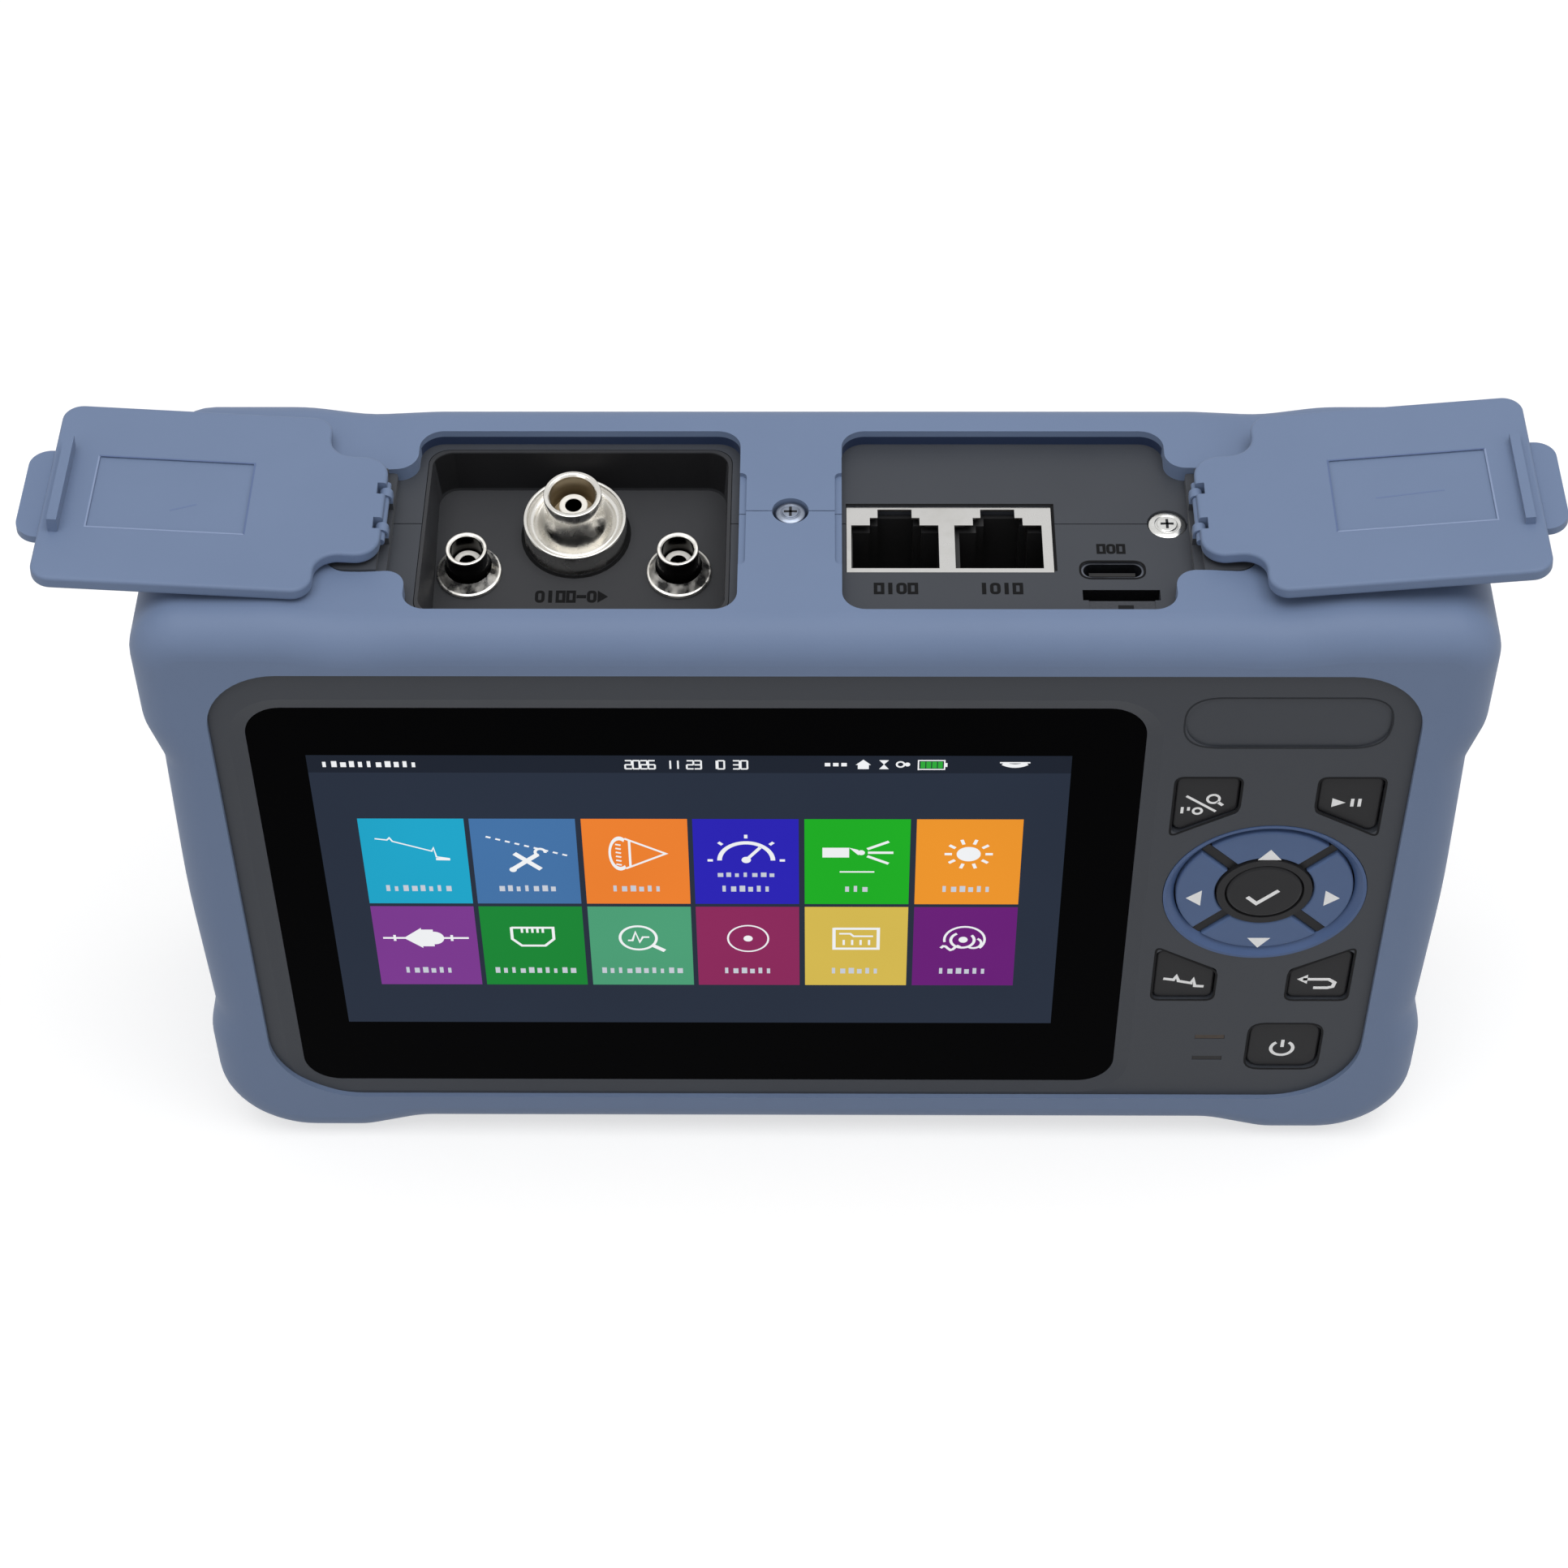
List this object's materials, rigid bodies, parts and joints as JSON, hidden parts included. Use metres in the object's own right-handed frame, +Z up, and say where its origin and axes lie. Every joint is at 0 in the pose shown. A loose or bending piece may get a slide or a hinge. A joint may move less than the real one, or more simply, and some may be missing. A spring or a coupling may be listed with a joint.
{
  "type": "optical time domain reflectometer",
  "caption": "Handheld fibre tester with a landscape touch screen, a keypad, a soft bumpered jacket and optical and network ports on its top edge under hinged dust flaps.",
  "frame": {"origin": "under the middle of the case, on the plane of the bottom bumpers", "axes": "+X to the right of the screen, +Y from the screen to the back, +Z up towards the port edge"},
  "size_m": [0.2197, 0.05, 0.1251],
  "materials": {
    "jacket_rubber": "satin soft-touch over-mould",
    "case_plastic": "fine matt mould texture",
    "key_rubber": "matt silicone",
    "pad_plastic": "satin",
    "cover_glass": "polished black-backed glass",
    "display": "lit panel",
    "nickel": "bright nickel plate",
    "zirconia": "polished",
    "shield_tin": "tinned sheet",
    "contact_gold": "gold flash",
    "board": "solder mask",
    "screw_steel": "zinc plated",
    "light_pipe": "smoked clear",
    "battery_wrap": "shrink wrap",
    "module_tin": "folded cover",
    "insulator": "glass-filled nylon"
  },
  "bodies": {
    "case": {"battery_pack": "battery_wrap", "card_socket": "insulator", "case_screws": "screw_steel", "charge_light": "light_pipe", "display_module": "display", "fault_finder_adapter": "nickel", "fault_finder_sleeve": "zirconia", "front_case": "case_plastic", "front_jacket": "jacket_rubber", "jack_contacts": "contact_gold", "jack_housing": "insulator", "key_board": "board", "key_domes": "screw_steel", "left_flap_anchor": "case_plastic", "main_board": "board", "module_standoffs": "screw_steel", "network_jack": "shield_tin", "optical_module": "module_tin", "otdr_adapter": "nickel", "otdr_sleeve": "zirconia", "pad_frame": "case_plastic", "pad_ring": "pad_plastic", "panel_screw": "screw_steel", "port_tray": "case_plastic", "power_meter_adapter": "nickel", "power_meter_sleeve": "zirconia", "rear_case": "case_plastic", "rear_jacket": "jacket_rubber", "right_flap_anchor": "case_plastic", "stand_pin": "screw_steel", "status_light": "light_pipe", "top_screw": "screw_steel", "touch_glass": "cover_glass", "usb_port_shell": "shield_tin", "usb_port_tongue": "insulator"},
    "left_flap": {"left_dust_flap": "jacket_rubber"},
    "right_flap": {"right_dust_flap": "jacket_rubber"},
    "stand": {"stand": "case_plastic"},
    "back_button": {"back_key": "key_rubber"},
    "centre_button": {"centre_key": "key_rubber"},
    "down_button": {"down_key": "pad_plastic"},
    "left_button": {"left_key": "pad_plastic"},
    "power_button": {"power_key": "key_rubber"},
    "right_button": {"right_key": "pad_plastic"},
    "start_button": {"start_key": "key_rubber"},
    "trace_button": {"trace_key": "key_rubber"},
    "up_button": {"up_key": "pad_plastic"},
    "zoom_button": {"zoom_key": "key_rubber"}
  },
  "joints": [
    {"name": "left_flap_hinge", "type": "hinge", "parent": "case", "child": "left_flap", "pos_m": [-0.0618, -0.0005, 0.11735], "axis": [0, 1, 0], "range_deg": [0, 176]},
    {"name": "right_flap_hinge", "type": "hinge", "parent": "case", "child": "right_flap", "pos_m": [0.055, -0.0005, 0.11735], "axis": [0, -1, 0], "range_deg": [0, 174]},
    {"name": "stand_hinge", "type": "hinge", "parent": "case", "child": "stand", "pos_m": [0, 0.0232, 0.0845], "axis": [1, 0, 0], "range_deg": [0, 55]},
    {"name": "back_key_press", "type": "slide", "parent": "case", "child": "back_button", "axis": [0, 1, 0], "range_m": [0, 0.0008], "stiffness_N_per_m": 1500, "springref_m": -0.0002},
    {"name": "centre_key_press", "type": "slide", "parent": "case", "child": "centre_button", "axis": [0, 1, 0], "range_m": [0, 0.0008], "stiffness_N_per_m": 1500, "springref_m": -0.0002},
    {"name": "down_key_press", "type": "slide", "parent": "case", "child": "down_button", "axis": [0, 1, 0], "range_m": [0, 0.0008], "stiffness_N_per_m": 1500, "springref_m": -0.0002},
    {"name": "left_key_press", "type": "slide", "parent": "case", "child": "left_button", "axis": [0, 1, 0], "range_m": [0, 0.0008], "stiffness_N_per_m": 1500, "springref_m": -0.0002},
    {"name": "power_key_press", "type": "slide", "parent": "case", "child": "power_button", "axis": [0, 1, 0], "range_m": [0, 0.0008], "stiffness_N_per_m": 1500, "springref_m": -0.0002},
    {"name": "right_key_press", "type": "slide", "parent": "case", "child": "right_button", "axis": [0, 1, 0], "range_m": [0, 0.0008], "stiffness_N_per_m": 1500, "springref_m": -0.0002},
    {"name": "start_key_press", "type": "slide", "parent": "case", "child": "start_button", "axis": [0, 1, 0], "range_m": [0, 0.0008], "stiffness_N_per_m": 1500, "springref_m": -0.0002},
    {"name": "trace_key_press", "type": "slide", "parent": "case", "child": "trace_button", "axis": [0, 1, 0], "range_m": [0, 0.0008], "stiffness_N_per_m": 1500, "springref_m": -0.0002},
    {"name": "up_key_press", "type": "slide", "parent": "case", "child": "up_button", "axis": [0, 1, 0], "range_m": [0, 0.0008], "stiffness_N_per_m": 1500, "springref_m": -0.0002},
    {"name": "zoom_key_press", "type": "slide", "parent": "case", "child": "zoom_button", "axis": [0, 1, 0], "range_m": [0, 0.0008], "stiffness_N_per_m": 1500, "springref_m": -0.0002}
  ]
}
